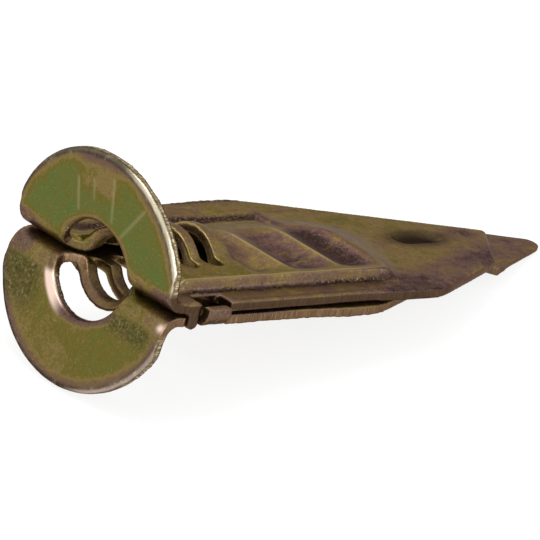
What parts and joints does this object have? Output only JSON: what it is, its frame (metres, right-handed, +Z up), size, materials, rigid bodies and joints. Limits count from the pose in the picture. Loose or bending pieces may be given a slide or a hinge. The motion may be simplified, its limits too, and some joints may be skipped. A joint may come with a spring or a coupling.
{
  "type": "drywall anchor",
  "caption": "Two-leg hammer-in metal anchor for plasterboard: two stamped leaves make a split round flange with a screw hole and a pointed, ribbed leg pair.",
  "frame": {"origin": "centre of the bounding box in plan, at the level of the floor that the anchor lies on", "axes": "+X from the round flange towards the drive point; +Z up as the anchor lies on its lower rim and point; +Y completes a right-handed set"},
  "size_m": [0.0382, 0.0136, 0.0133],
  "materials": {
    "plated_lower": "satin yellow zinc",
    "plated_upper": "satin yellow zinc"
  },
  "bodies": {
    "lower": {"lower_leaf": "plated_lower"},
    "upper": {"upper_leaf": "plated_upper"}
  },
  "joints": [
    {"name": "leg_spread", "type": "hinge", "parent": "lower", "child": "upper", "pos_m": [-0.01609, 0, 0.0064], "axis": [0, -1, 0], "range_deg": [0, 35]}
  ]
}
